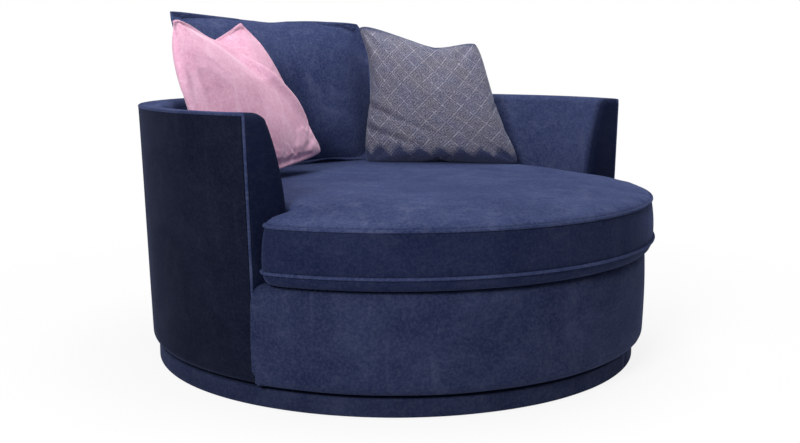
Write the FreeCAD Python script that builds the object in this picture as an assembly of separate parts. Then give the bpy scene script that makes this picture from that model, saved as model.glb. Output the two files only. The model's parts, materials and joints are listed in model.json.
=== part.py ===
import FreeCAD, Part
import math
import os

from FreeCAD import Vector

os.makedirs("parts", exist_ok=True)

# Round swivel cuddle chair, millimetres, +Z up, front towards -Y.
# The origin is on the swivel axis at the floor.

# clearances
soft_gap = 0.3           # between one covering and what it lies on
hard_gap = 0.3           # between a board and what is fixed beside it
hole_gap = 0.1           # round a screw
ball_gap = 0.03          # round a bearing ball

# coverings
cover_thickness = 4.0    # velvet with its wadding
cover_hem = 1.7          # bare velvet where it turns under a board

# plinth
plinth_radius = 635.0
plinth_height = 46.0
glide_height = 4.0
glide_radius = 14.0
glide_edge = 1.2
glide_circle = 575.0
glide_count = 8
plinth_board = 15.0
block_length = 90.0
block_width = 50.0
floor_ring_width = 104.0
hoop_thickness = 6.0
plinth_hem_width = 35.0
plinth_edge_round = 3.0
plinth_screw_turn = 22.5  # degrees between a glide and the next screw

# swivel bearing
swivel_gap = 8.0         # the dark line between plinth and body
ball_circle = 232.0
bearing_ring_width = 26.0
bearing_lift = 1.0       # each ring clears the far board by this
race_gap = 3.0           # between the two rings
ball_radius = 3.5
ball_count = 36
cage_height = 9.6
access_hole_radius = 11.0

# screws
screw_radius = 2.2
screw_head_radius = 4.4
screw_head_height = 2.6
bearing_screw_bite = 11.0
bearing_screw_count = 8
plinth_screw_length = 32.0
frame_screw_length = 45.0

# body shell
body_overhang = 13.0     # foot of the outside cover beyond the plinth
shell_lean = 18.5        # the outside face gains this from foot to rim
rim_height = 653.5
foot_roll = 20.0
foot_wall_thickness = 88.0
rim_wall_thickness = 61.5
flare_height = 380.0     # above this the inside face leans outwards
rim_roll = 25.0          # rounding of the inner edge of the rim
arm_front = -250.0       # plane of the arm fronts
body_hem_width = 32.0
welt_radius = 3.2
welt_knot = 0.15         # the welt is this much fuller where it turns the corner

# body frame
base_board = 18.0
rib_thickness = 18.0
rib_depth_in = 36.0      # inside face of the cover to the inner edge of a rib
rib_knee_height = 400.0
rib_count = 13
rib_spread = 200.0       # degrees from the first rib to the last
rail_thickness = 18.0
rim_foam = 10.0          # over the top rail and on the arm fronts
liner_thickness = 2.5
liner_foot_height = 92.0
arm_post = 25.0
seat_rail_height = 22.0
spring_deck_depth = 28.0  # deck surface down to the seat rail
front_rib_count = 5
front_rib_spread = 96.0
front_board = 6.0
dust_cover_thickness = 1.2

# front panel and deck
front_proud = 12.0       # the front panel stands out from the shell foot
front_roll = 25.0
front_padding = 12.0
front_wrap = 60.0        # how far the front cover turns in over the top
deck_height = 286.0
deck_cloth = 1.7
front_end_gap = 1.0      # front panel to arm welt

# springs
wire_radius = 2.0
spring_count = 9
spring_spacing = 110.0
spring_pitch = 22.0
spring_half_width = 24.0
clip_sheet = 1.5
clip_length = 14.0
clip_width = 20.0
clip_inset = 17.0        # spring end in from the outside of the seat rail

# seat cushion
seat_front_proud = 18.0  # bottom seam beyond the front panel
seat_top_set_back = 8.0  # top seam in from the bottom seam
seat_under_set_back = 23.0
seat_side_gap = 4.0
seat_ear_gap = 9.0       # ears in front of the arm fronts
seat_ear_round = 42.0
seat_neck_round = 5.0
seat_bottom_seam = 30.5  # heights above the underside
seat_top_seam = 129.5
seat_thickness = 170.5
seat_flat_radius = 440.0
seat_belly = 4.0          # fullness between the underside and the bottom seam
seat_crown_drop = 0.27    # share of the crown lost half way to the top seam
seat_welt_radius = 3.2    # half of it stands proud of the seam
seat_cover = 4.0
zip_height = 24.0
zip_thickness = 1.5
zip_sweep = 80.0

# loose cushions
loose_cover = 4.0
knife_edge = 6.0         # thickness left at the two side edges
contact_gap = 0.4
filling_gap = 1.2
base_zip_depth = 2.2
base_zip_width = 9.0
base_zip_share = 0.4      # of the base width
base_zip_play = 0.3

# half the size of a cutting block
reach = 2000.0

# derived sizes
body_foot = plinth_height + swivel_gap
shell_foot_radius = plinth_radius + body_overhang
rim_radius = shell_foot_radius + shell_lean
inner_radius = shell_foot_radius - foot_wall_thickness
rim_inner_radius = rim_radius - rim_wall_thickness
frame_skin = cover_thickness + liner_thickness + 3 * soft_gap
front_radius = shell_foot_radius + front_proud
wood_radius = plinth_radius - cover_thickness - soft_gap
plinth_board_radius = wood_radius - hoop_thickness - hard_gap
plinth_top = plinth_height - cover_hem - soft_gap
body_board_foot = body_foot + cover_hem + soft_gap
body_board_top = body_board_foot + base_board
base_board_radius = shell_foot_radius - foot_roll
seat_rail_top = deck_height - spring_deck_depth
rib_inner_radius = inner_radius + rib_depth_in
seat_rail_radius = rib_inner_radius - hard_gap
front_wrap_radius = front_radius - front_wrap
rib_top = rim_height - cover_thickness - rim_foam - rail_thickness - 2 * soft_gap
rib_top_inner_radius = rim_inner_radius + rim_roll
arm_post_front = arm_front + cover_thickness + rim_foam + 2 * soft_gap
seat_underside = deck_height + contact_gap
seat_top = seat_underside + seat_thickness
seat_front_radius = front_radius + seat_front_proud
seat_inner_radius = inner_radius - seat_side_gap
seat_ear_back = arm_front - seat_ear_gap
spring_height = seat_rail_top + clip_sheet + wire_radius + 2 * hole_gap
deck_foot = spring_height + wire_radius + clip_sheet + hole_gap + soft_gap


# Faces are drawn in the XZ plane from points (r, z); a pair of points is an arc through the first.
def flat(point):
    return Vector(point[0], 0, point[1])


def outline(*steps):
    edges = []
    here = steps[0]
    for step in steps[1:] + (steps[0],):
        if isinstance(step[0], tuple):
            through, there = step
            edges.append(Part.Arc(flat(here), flat(through), flat(there)).toShape())
        else:
            there = step
            edges.append(Part.LineSegment(flat(here), flat(there)).toShape())
        here = there
    return Part.Face(Part.Wire(edges))


# Start, middle and end of an arc round a centre, angles in degrees from outwards to upwards.
def bend(centre, radius, start, end):
    def point(angle):
        turn = math.radians(angle)
        return (centre[0] + radius * math.cos(turn), centre[1] + radius * math.sin(turn))

    return point(start), (point((start + end) / 2), point(end))


def turned(face):
    return face.revolve(Vector(0, 0, 0), Vector(0, 0, 1), 360)


def ring(inner, outer, low, high):
    shape = Part.makeCylinder(outer, high - low, Vector(0, 0, low))
    if inner > 0:
        shape = shape.cut(Part.makeCylinder(inner, high - low, Vector(0, 0, low)))
    return shape


def behind(shape, plane):
    block = Part.makeBox(2 * reach, reach, 2 * reach, Vector(-reach, plane, -reach))
    return shape.common(block)


def before(shape, plane):
    block = Part.makeBox(2 * reach, reach, 2 * reach, Vector(-reach, plane - reach, -reach))
    return shape.common(block)


def above(shape, height):
    block = Part.makeBox(2 * reach, 2 * reach, reach, Vector(-reach, -reach, height))
    return shape.common(block)


def around(shape, angles):
    copies = []
    for angle in angles:
        copy = shape.copy()
        copy.rotate(Vector(0, 0, 0), Vector(0, 0, 1), angle)
        copies.append(copy)
    return copies


def spread(count, first, last):
    return [first + (last - first) * i / (count - 1) for i in range(count)]


def full_turn(count, first=0.0):
    return [first + 360.0 * i / count for i in range(count)]


def save(name, *shapes):
    solids = []
    for shape in shapes:
        solids.extend(shape.Solids)
    whole = solids[0] if len(solids) == 1 else Part.makeCompound(solids)
    whole.exportStep("parts/" + name + ".step")
    valid = all(solid.isValid() and solid.Volume > 0 for solid in solids)
    print(name, len(solids), "ok" if valid else "NOT VALID", round(whole.Volume / 1e6, 4), "litres")


# Screw along +Z with its countersunk head at the foot, flush with height z.
def screw(x, y, z, length):
    shank = Part.makeCylinder(screw_radius, length, Vector(x, y, z))
    head = Part.makeCone(screw_head_radius, screw_radius, screw_head_height, Vector(x, y, z))
    return shank.fuse(head)


def screw_hole(x, y, z, length):
    shank = Part.makeCylinder(screw_radius + hole_gap, length + hole_gap, Vector(x, y, z))
    wide = screw_head_radius + hole_gap
    head = Part.makeCone(wide, screw_radius + hole_gap, screw_head_height + hole_gap, Vector(x, y, z))
    return shank.fuse(head)


# The same screw driven downwards, head flush at height z.
def screw_down(maker, x, y, z, length):
    shape = maker(x, y, 0, length)
    shape.rotate(Vector(x, y, 0), Vector(1, 0, 0), 180)
    shape.translate(Vector(0, 0, z))
    return shape


def drilled(shape, holes):
    for hole in holes:
        shape = shape.cut(hole)
    return shape


# Outside face of the arms and back: a cone that leans outwards.
def shell_radius(height):
    return shell_foot_radius + shell_lean * (height - body_foot) / (rim_height - body_foot)


# Inside face from a low height up to the flat of the rim, moved into the wall by an inset.
def inside_line(inset, low):
    roll_centre = (rim_inner_radius + rim_roll, rim_height - rim_roll)
    step = roll_centre[0] - inner_radius
    rise = roll_centre[1] - flare_height
    flare = (step ** 2 + rise ** 2 - rim_roll ** 2) / (2 * (step - rim_roll))
    flare_centre = (inner_radius + flare, flare_height)
    turn = math.degrees(math.atan2(rise, flare - step))
    flare_start, flare_arc = bend(flare_centre, flare - inset, 180, 180 - turn)
    roll_start, roll_arc = bend(roll_centre, rim_roll - inset, 180 - turn, 90)
    return (inner_radius + inset, low), flare_start, flare_arc, roll_arc


# Section of the arm and back wall, in from its inside and top faces by inset, in from the outside by skin.
def wall_section(inset, skin, low):
    top = rim_height - inset
    return outline(
        *inside_line(inset, low),
        (shell_radius(top) - skin, top),
        (shell_radius(low) - skin, low),
    )


def wall(inset, skin, low):
    return behind(turned(wall_section(inset, skin, low)), arm_front + inset)


# What lies under the inside cover, run on past the outside of the wall to cut with.
def under_cover(low):
    return wall(cover_thickness, -foot_wall_thickness, low)


def frame_section(inset, skin):
    return outline(
        (rib_inner_radius + inset, body_board_top),
        (rib_inner_radius + inset, rib_knee_height),
        (rib_top_inner_radius + inset, rib_top),
        (shell_radius(rib_top) - skin, rib_top),
        (shell_radius(liner_foot_height) - skin, liner_foot_height),
        (base_board_radius - hard_gap, body_board_top),
    )


# plinth

def plinth():
    ring_top = glide_height + plinth_board
    board_foot = plinth_top - plinth_board
    block_circle = plinth_board_radius - block_width
    between = full_turn(glide_count, plinth_screw_turn)
    screws = around(screw(block_circle, 0, glide_height, plinth_screw_length), between)
    holes = around(screw_hole(block_circle, 0, glide_height, plinth_screw_length), between)

    glide = Part.makeCylinder(glide_radius, glide_height, Vector(glide_circle, 0, 0))
    low_edges = [e for e in glide.Edges if e.BoundBox.ZMax < glide_height / 2]
    glide = glide.makeFillet(glide_edge, low_edges)
    save("floor_glides", *around(glide, full_turn(glide_count)))

    floor_ring = ring(plinth_board_radius - floor_ring_width, plinth_board_radius, glide_height, ring_top)
    save("plinth_floor_ring", drilled(floor_ring, holes))

    block = Part.makeBox(
        block_width, block_length, board_foot - ring_top,
        Vector(block_circle - block_width / 2, -block_length / 2, ring_top),
    )
    blocks = around(block, between)
    save("plinth_blocks", *[b.cut(h) for b, h in zip(blocks, holes)])

    top_board = ring(0, plinth_board_radius, board_foot, plinth_top)
    upper_ring_middle = ball_circle - (race_gap + bearing_ring_width) / 2
    access = Part.makeCylinder(access_hole_radius, plinth_board, Vector(upper_ring_middle, 0, board_foot))
    lower_ring_holes = bearing_screws(screw_hole, lower=True)
    save("plinth_top_board", drilled(top_board, holes + lower_ring_holes + [access]))
    save("plinth_screws", *screws)

    hoop = ring(plinth_board_radius + hard_gap, wood_radius, glide_height, plinth_top)
    save("plinth_hoop", hoop)

    hem_radius = plinth_radius - plinth_hem_width
    hem_foot = glide_height - cover_hem
    low_round, low_arc = bend(
        (plinth_radius - plinth_edge_round, hem_foot + plinth_edge_round), plinth_edge_round, -90, 0)
    high_round, high_arc = bend(
        (plinth_radius - plinth_edge_round, plinth_height - plinth_edge_round), plinth_edge_round, 0, 90)
    section = outline(
        (hem_radius, hem_foot), low_round, low_arc, high_round, high_arc,
        (hem_radius, plinth_height),
        (hem_radius, plinth_top + soft_gap),
        (wood_radius + soft_gap, plinth_top + soft_gap),
        (wood_radius + soft_gap, glide_height - soft_gap),
        (hem_radius, glide_height - soft_gap),
    )
    save("plinth_cover", turned(section))


# swivel bearing: the lower ring stays with the plinth, the upper ring turns with the body

def bearing_screws(maker, lower):
    shapes = []
    half = (race_gap + bearing_ring_width) / 2
    radius = ball_circle + half if lower else ball_circle - half
    for angle in full_turn(bearing_screw_count):
        x = radius * math.cos(math.radians(angle))
        y = radius * math.sin(math.radians(angle))
        thickness = body_board_foot - plinth_top - bearing_lift
        length = thickness + bearing_screw_bite
        if lower:
            shapes.append(screw_down(maker, x, y, plinth_top + thickness, length))
        else:
            shapes.append(maker(x, y, body_board_foot - thickness, length))
    return shapes


def bearing():
    middle = (plinth_top + body_board_foot) / 2
    race = Part.makeTorus(ball_circle, ball_radius + ball_gap, Vector(0, 0, middle))
    near = ball_circle - race_gap / 2
    far = ball_circle + race_gap / 2
    lower = ring(far, far + bearing_ring_width, plinth_top, body_board_foot - bearing_lift)
    upper = ring(near - bearing_ring_width, near, plinth_top + bearing_lift, body_board_foot)
    save("swivel_lower_ring", drilled(lower.cut(race), bearing_screws(screw_hole, lower=True)))
    save("swivel_upper_ring", drilled(upper.cut(race), bearing_screws(screw_hole, lower=False)))
    save("swivel_lower_screws", *bearing_screws(screw, lower=True))
    save("swivel_upper_screws", *bearing_screws(screw, lower=False))

    play = race_gap / 2 - hard_gap
    cage = ring(ball_circle - play, ball_circle + play, middle - cage_height / 2, middle + cage_height / 2)
    start = Vector(ball_circle - race_gap, 0, middle)
    pocket = Part.makeCylinder(ball_radius + hard_gap, 2 * race_gap, start, Vector(1, 0, 0))
    ball = Part.makeSphere(ball_radius, Vector(ball_circle, 0, middle))
    save("swivel_ball_cage", drilled(cage, around(pocket, full_turn(ball_count))))
    save("swivel_balls", *around(ball, full_turn(ball_count)))


# wooden frame

def rib_angles():
    return spread(rib_count, 90 - rib_spread / 2, 90 + rib_spread / 2)


def front_rib_angles():
    return spread(front_rib_count, -90 - front_rib_spread / 2, -90 + front_rib_spread / 2)


def sawn(section):
    plate = section.extrude(Vector(0, rib_thickness, 0))
    plate.translate(Vector(0, -rib_thickness / 2, 0))
    return plate


def frame():
    screw_radius_place = (rib_inner_radius + base_board_radius) / 2
    angles = rib_angles() + front_rib_angles()
    holes = around(screw_hole(screw_radius_place, 0, body_board_foot, frame_screw_length), angles)
    screws = around(screw(screw_radius_place, 0, body_board_foot, frame_screw_length), angles)
    save("frame_screws", *screws)

    board = ring(0, base_board_radius, body_board_foot, body_board_top)
    save("base_board", drilled(board, holes + bearing_screws(screw_hole, lower=False)))

    rib = sawn(frame_section(0, frame_skin))
    ribs = around(rib.cut(holes_at_zero(screw_radius_place)), rib_angles())
    save("shell_ribs", *ribs)

    whole = turned(frame_section(0, frame_skin))
    slab = before(behind(whole, arm_post_front), arm_post_front + arm_post)
    save("arm_posts", slab)

    rail_top = rib_top + rail_thickness
    rail = turned(outline(
        (rib_top_inner_radius, rib_top), (rib_top_inner_radius, rail_top),
        (shell_radius(rib_top) - frame_skin, rail_top), (shell_radius(rib_top) - frame_skin, rib_top),
    ))
    save("top_rail", behind(rail, arm_post_front))

    seat_rail_foot = seat_rail_top - seat_rail_height
    save("seat_rail", ring(inner_radius + hard_gap, seat_rail_radius, seat_rail_foot, seat_rail_top))

    post_radius = front_radius - cover_thickness - front_padding - front_board - 3 * hard_gap
    front_outline = outline(
        (rib_inner_radius, body_board_top), (rib_inner_radius, seat_rail_foot),
        (post_radius, seat_rail_foot), (post_radius, liner_foot_height),
        (base_board_radius - hard_gap, body_board_top),
    )
    front_rib = sawn(front_outline).cut(holes_at_zero(screw_radius_place))
    save("front_ribs", *around(front_rib, front_rib_angles()))

    edge = arm_front - front_end_gap - cover_thickness
    save("front_rail", before(ring(rib_inner_radius, post_radius, seat_rail_foot, seat_rail_top), edge))
    board = ring(post_radius + hard_gap, post_radius + hard_gap + front_board, body_board_top, seat_rail_top)
    save("front_board", before(board, edge))


def holes_at_zero(radius):
    return screw_hole(radius, 0, body_board_foot, frame_screw_length)


# spring deck

def spring_wire(x):
    end = math.sqrt((seat_rail_radius - clip_inset) ** 2 - x ** 2)
    bars = max(2, int(round(2 * end / spring_pitch)))
    pitch = 2 * end / bars
    half = spring_half_width - pitch / 2
    edges = []
    for i in range(bars + 1):
        y = -end + pitch * i
        side = 1 if i % 2 == 0 else -1
        start = Vector(x - side * half, y, spring_height)
        stop = Vector(x + side * half, y, spring_height)
        edges.append(Part.LineSegment(start, stop).toShape())
        if i < bars:
            middle = Vector(x + side * (half + pitch / 2), y + pitch / 2, spring_height)
            edges.append(Part.Arc(stop, middle, stop + Vector(0, pitch, 0)).toShape())
    path = Part.Wire(edges)
    first = Vector(x - half, -end, spring_height)
    circle = Part.Wire(Part.makeCircle(wire_radius, first, Vector(1, 0, 0)))
    return path.makePipeShell([circle], True, True), end


def clip(x, y):
    outer = Part.makeBox(
        clip_width, clip_length, deck_foot - soft_gap - seat_rail_top,
        Vector(x - clip_width / 2, y - clip_length / 2, seat_rail_top),
    )
    bore = Part.makeCylinder(
        wire_radius + hole_gap, clip_width, Vector(x - clip_width / 2, y, spring_height), Vector(1, 0, 0))
    return outer.cut(bore)


def springs():
    wires = []
    clips = []
    half = spring_spacing * (spring_count - 1) / 2
    for x in spread(spring_count, -half, half):
        wire, end = spring_wire(x)
        wires.append(wire)
        clips.append(clip(x, -end))
        clips.append(clip(x, end))
    save("sinuous_springs", *wires)
    save("spring_clips", *clips)


# T-shaped disc: a round inner part between the arms and a wider part in front of them
def tee(inner, outer, plane, low, high):
    front = before(Part.makeCylinder(outer, high - low, Vector(0, 0, low)), plane)
    return front.fuse(Part.makeCylinder(inner, high - low, Vector(0, 0, low))).removeSplitter()


def deck():
    pad_top = deck_height - deck_cloth - soft_gap
    inner = inner_radius - hard_gap
    outer = front_wrap_radius - hard_gap
    plane = arm_front - front_end_gap
    save("deck_pad", tee(inner, outer, plane, deck_foot, pad_top))
    save("deck_cloth", tee(inner, outer, plane, deck_height - deck_cloth, deck_height))


# front panel

def front_section(inset, low, wrap):
    top = deck_height - inset
    roll = front_roll - inset
    radius = front_radius - inset
    foot_start, foot_arc = bend((radius - roll, low + roll), roll, -90, 0)
    top_start, top_arc = bend((radius - roll, top - roll), roll, 0, 90)
    return outline((wrap, low), foot_start, foot_arc, top_start, top_arc, (wrap, top))


def front_panel():
    edge = arm_front - front_end_gap
    hem_radius = front_radius - front_proud - foot_roll - body_hem_width
    outer = before(turned(front_section(0, body_foot, hem_radius)), edge)
    hollow = before(
        turned(front_section(cover_thickness, body_foot + cover_hem, hem_radius - hard_gap)),
        edge - cover_thickness,
    )
    inner_block = ring(0, front_wrap_radius, body_foot + cover_hem, deck_height)
    board_block = ring(0, base_board_radius + hard_gap, body_foot + cover_hem, body_board_top + hard_gap)
    save("front_cover", outer.cut(hollow).cut(inner_block).cut(board_block))

    pad_inset = cover_thickness + soft_gap
    pad = before(
        turned(front_section(pad_inset, body_board_top, front_wrap_radius)), edge - pad_inset)
    board_out = front_radius - cover_thickness - front_padding - 2 * hard_gap
    frame_block = ring(0, board_out + soft_gap, body_foot, seat_rail_top + soft_gap)
    save("front_foam", pad.cut(frame_block))


# outside cover, liner, inside cover, foam and welt

def outside():
    top = rim_height - 2 * welt_radius - soft_gap
    end = arm_front + 2 * welt_radius + 2 * soft_gap
    hem_radius = base_board_radius - body_hem_width
    roll_centre = (shell_radius(body_foot + foot_roll) - foot_roll, body_foot + foot_roll)
    low_start, low_arc = bend(roll_centre, foot_roll, -90, 0)
    in_start, in_arc = bend(roll_centre, foot_roll - cover_thickness, 0, -90)
    section = outline(
        (hem_radius, body_foot), low_start, low_arc, (shell_radius(top), top),
        (shell_radius(top) - cover_thickness, top), in_start, in_arc,
        (base_board_radius + hard_gap, body_foot + cover_thickness),
        (base_board_radius + hard_gap, body_foot + cover_hem),
        (hem_radius, body_foot + cover_hem),
    )
    save("outside_cover", behind(turned(section), end))

    liner_top = rib_top + rail_thickness
    out = cover_thickness + soft_gap
    section = outline(
        (shell_radius(liner_foot_height) - out, liner_foot_height),
        (shell_radius(liner_top) - out, liner_top),
        (shell_radius(liner_top) - out - liner_thickness, liner_top),
        (shell_radius(liner_foot_height) - out - liner_thickness, liner_foot_height),
    )
    save("outside_liner", behind(turned(section), arm_post_front))


def inside():
    low = deck_foot
    skin = 2 * welt_radius + 2 * soft_gap
    foam_inset = cover_thickness + soft_gap
    save("inside_cover", wall(0, skin, low).cut(under_cover(low)))

    frame_block = behind(turned(outline(
        (rib_inner_radius + hard_gap - soft_gap, low - 1),
        (rib_inner_radius + hard_gap - soft_gap, rib_knee_height),
        (rib_top_inner_radius - soft_gap, rib_top),
        (rib_top_inner_radius - soft_gap, rib_top + rail_thickness + soft_gap),
        (reach, rib_top + rail_thickness + soft_gap),
        (reach, low - 1),
    )), arm_post_front - soft_gap)
    foam = wall(foam_inset, frame_skin, low).cut(frame_block)
    save("inside_foam", foam)


def edge_welt():
    centre_in = welt_radius + soft_gap
    height = rim_height - centre_in
    plane = arm_front + centre_in
    foot = body_foot + cover_thickness

    def corner(level, side):
        radius = shell_radius(level) - centre_in
        return Vector(side * math.sqrt(radius ** 2 - plane ** 2), plane, level)

    rim = behind(Part.makeTorus(shell_radius(height) - centre_in, welt_radius, Vector(0, 0, height)), plane)
    welt = rim
    for side in (-1, 1):
        low_point = corner(foot, side)
        high_point = corner(height, side)
        rise = high_point - low_point
        upright = Part.makeCylinder(welt_radius, rise.Length, low_point, rise)
        welt = welt.fuse(upright).fuse(Part.makeSphere(welt_radius + welt_knot, high_point))
    save("edge_welt", welt)


def dust_cover():
    inner = ball_circle + race_gap / 2 + bearing_ring_width + 1
    outer = base_board_radius - body_hem_width - hard_gap
    foot = body_board_foot - dust_cover_thickness
    save("dust_cover", ring(inner, outer, foot, body_board_foot))


# seat cushion

def seat_plan(margin, front, height):
    thickness = 1.0
    plate = tee(seat_inner_radius - margin, front - margin, seat_ear_back - margin, height, height + thickness)

    def uprights(test):
        return [
            edge for edge in plate.Edges
            if edge.BoundBox.ZLength > thickness / 2 and edge.BoundBox.YMax < 0
            and test(math.hypot(edge.BoundBox.XMax, edge.BoundBox.YMax))
        ]

    plate = plate.makeFillet(seat_ear_round - margin, uprights(lambda radius: radius > front - margin - 1))
    neck = seat_inner_radius - margin
    plate = plate.makeFillet(seat_neck_round + margin, uprights(lambda radius: abs(radius - neck) < 1))
    return [face for face in plate.Faces if face.BoundBox.ZMax < height + thickness / 2][0]


def seat_block(margin):
    low = seat_underside + margin
    top = seat_top - margin
    bottom_seam = seat_underside + seat_bottom_seam
    top_seam = seat_underside + seat_top_seam
    wide = seat_front_radius - margin
    narrow = wide - seat_top_set_back
    under = wide - seat_under_set_back
    belly = ((wide + under) / 2 + seat_belly, (low + bottom_seam) / 2 - seat_belly)
    crown = ((narrow + seat_flat_radius) / 2, top - (top - top_seam) * seat_crown_drop)
    section = outline(
        (0, low), (under, low), (belly, (wide, bottom_seam)), (narrow, top_seam),
        (crown, (seat_flat_radius, top)), (0, top),
    )
    low_plan = seat_plan(margin, seat_front_radius, bottom_seam)
    high_plan = seat_plan(margin, seat_front_radius - seat_top_set_back, top_seam)
    boxing = Part.makeLoft([low_plan.OuterWire, high_plan.OuterWire], True, True)
    skirt = low_plan.extrude(Vector(0, 0, low - bottom_seam))
    cap = high_plan.extrude(Vector(0, 0, top - top_seam))
    return turned(section).common(boxing.fuse(skirt).fuse(cap))


def seat_welt(height, front):
    path = seat_plan(0, front, height).OuterWire
    start = path.Edges[0].valueAt(path.Edges[0].FirstParameter)
    along = path.Edges[0].tangentAt(path.Edges[0].FirstParameter)

    def tube(radius):
        circle = Part.Wire(Part.makeCircle(radius, start, along))
        return path.makePipeShell([circle], True, True)

    return tube(seat_welt_radius), tube(seat_welt_radius + soft_gap)


def seat_cushion():
    cover = seat_block(0).cut(seat_block(seat_cover))
    welts = (
        ("seat_bottom_welt", seat_bottom_seam, seat_front_radius),
        ("seat_top_welt", seat_top_seam, seat_front_radius - seat_top_set_back),
    )
    for name, seam, front in welts:
        tube, groove = seat_welt(seat_underside + seam, front)
        cover = cover.cut(groove)
        save(name, tube)
    zip_middle = seat_underside + (seat_bottom_seam + seat_top_seam) / 2
    zip_inner = seat_inner_radius + soft_gap
    band = ring(zip_inner, zip_inner + zip_thickness, zip_middle - zip_height / 2, zip_middle + zip_height / 2)
    wedge = Part.makeCylinder(reach, reach, Vector(0, 0, 0), Vector(0, 0, 1), zip_sweep)
    wedge.rotate(Vector(0, 0, 0), Vector(0, 0, 1), 90 - zip_sweep / 2)
    save("seat_zip", band.common(wedge))
    save("seat_cover", cover)
    save("seat_foam_core", seat_block(seat_cover + soft_gap))


# Loose cushions. Each is lofted through lens sections from one side edge to the other.
# The base centre stands in from the inside face of the back by set_back, at an angle round the seat.
back_cushion = {
    "set_back": 116.0, "angle": 99.0, "facing": 2.5, "twist": 5.0,
    "base_width": 640.0, "top_width": 660.0, "height": 442.0, "thickness": 172.0,
    "lean": 58.0, "roll": -14.0, "lift": 0.0, "slope": -10.0, "dip": 0.0, "bow": 40.0, "sink": 14.0,
}
pink_pillow = {
    "set_back": 233.0, "angle": 152.5, "facing": 22.5, "twist": 12.0,
    "base_width": 465.0, "top_width": 376.0, "height": 414.0, "thickness": 150.0,
    "lean": 103.0, "roll": -125.0, "lift": 28.0, "slope": 6.5, "dip": 60.0, "bow": 0.0, "sink": 12.0,
}
grey_pillow = {
    "set_back": 166.0, "angle": 29.8, "facing": -45.0, "twist": 0.0,
    "base_width": 459.0, "top_width": 366.0, "height": 393.0, "thickness": 140.0,
    "lean": 58.0, "roll": -85.0, "lift": 0.0, "slope": -24.0, "dip": 18.0, "bow": 0.0, "sink": 12.0,
}


def pillow(size, margin):
    turn = math.radians(size["facing"])
    top_turn = math.radians(size["facing"] + size["twist"])
    wide = Vector(math.cos(turn), math.sin(turn), 0)
    top_wide = Vector(math.cos(top_turn), math.sin(top_turn), 0)
    back = Vector(-math.sin(turn), math.cos(turn), 0)
    up = Vector(0, 0, 1)
    place = math.radians(size["angle"])
    distance = inner_radius - size["set_back"]
    base = Vector(distance * math.cos(place), distance * math.sin(place), seat_top - size["sink"])
    rise = up * size["height"] + back * size["lean"] + wide * size["roll"]
    normal = (wide + top_wide).cross(rise)
    normal.normalize()
    sections = []
    for share in (-1.0, -0.9, -0.6, 0.0, 0.6, 0.9, 1.0):
        bow = back * (-size["bow"] * share ** 2)
        dip = up * (size["slope"] * share - size["dip"] * (1 - share ** 2))
        narrow_base = size["base_width"] / 2 - margin
        narrow_top = size["top_width"] / 2 - margin
        low = base + wide * (share * narrow_base) + bow + up * (size["lift"] * (1 + share) + margin)
        high = base + rise + top_wide * (share * narrow_top) + bow + dip - up * margin
        full = size["thickness"] - 2 * margin
        edge = knife_edge - margin
        thick = edge + (full - edge) * (1 - abs(share) ** 3.2) ** 0.75
        middle = (low + high) * 0.5
        front = Part.Arc(low, middle - normal * (thick / 2), high).toShape()
        rear = Part.Arc(high, middle + normal * (thick / 2), low).toShape()
        sections.append(Part.Wire([front, rear]))
    return Part.makeLoft(sections, True, False)


def room_behind(gap):
    low = seat_underside
    top = rim_height + contact_gap
    section = outline(
        *inside_line(-gap, low),
        (reach, rim_height + gap), (reach, low),
    )
    return turned(section)


def flat_strip(middle, facing, length, width, low, height):
    strip = Part.makeBox(length, width, height, Vector(-length / 2, -width / 2, 0))
    strip.rotate(Vector(0, 0, 0), Vector(0, 0, 1), facing)
    strip.translate(Vector(middle.x, middle.y, low))
    return strip


def biggest(shape):
    return max(shape.Solids, key=lambda solid: solid.Volume)


def loose_cushion(name, size, obstacles):
    floor = seat_top + contact_gap
    outer = above(pillow(size, 0), floor)
    cavity = above(pillow(size, loose_cover), floor + loose_cover)
    filling = above(pillow(size, loose_cover + filling_gap), floor + loose_cover + soft_gap)
    for obstacle in obstacles:
        outer = outer.cut(obstacle(contact_gap))
        cavity = cavity.cut(obstacle(contact_gap + loose_cover))
        filling = filling.cut(obstacle(contact_gap + loose_cover + soft_gap))
    outer = biggest(outer)
    cover = outer.cut(biggest(cavity))
    zip_face = max(
        (f for f in outer.Faces if abs(f.BoundBox.ZMax - floor) < 0.01), key=lambda face: face.Area)
    middle = zip_face.CenterOfMass
    length = size["base_width"] * base_zip_share
    play = 2 * base_zip_play
    slot = flat_strip(middle, size["facing"], length + play, base_zip_width + play, floor, base_zip_depth)
    tape = flat_strip(middle, size["facing"], length, base_zip_width, floor, base_zip_depth - base_zip_play)
    save(name + "_cover", cover.cut(slot))
    save(name + "_filling", biggest(filling))
    save(name + "_zip", tape)


plinth()
bearing()
frame()
springs()
deck()
front_panel()
outside()
inside()
edge_welt()
dust_cover()
seat_cushion()
loose_cushion("back_cushion", back_cushion, [room_behind])
loose_cushion("pink_pillow", pink_pillow, [room_behind])
loose_cushion("grey_pillow", grey_pillow, [room_behind])
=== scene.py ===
import bpy
import json
import math
import numpy as np
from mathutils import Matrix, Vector, kdtree

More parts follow.
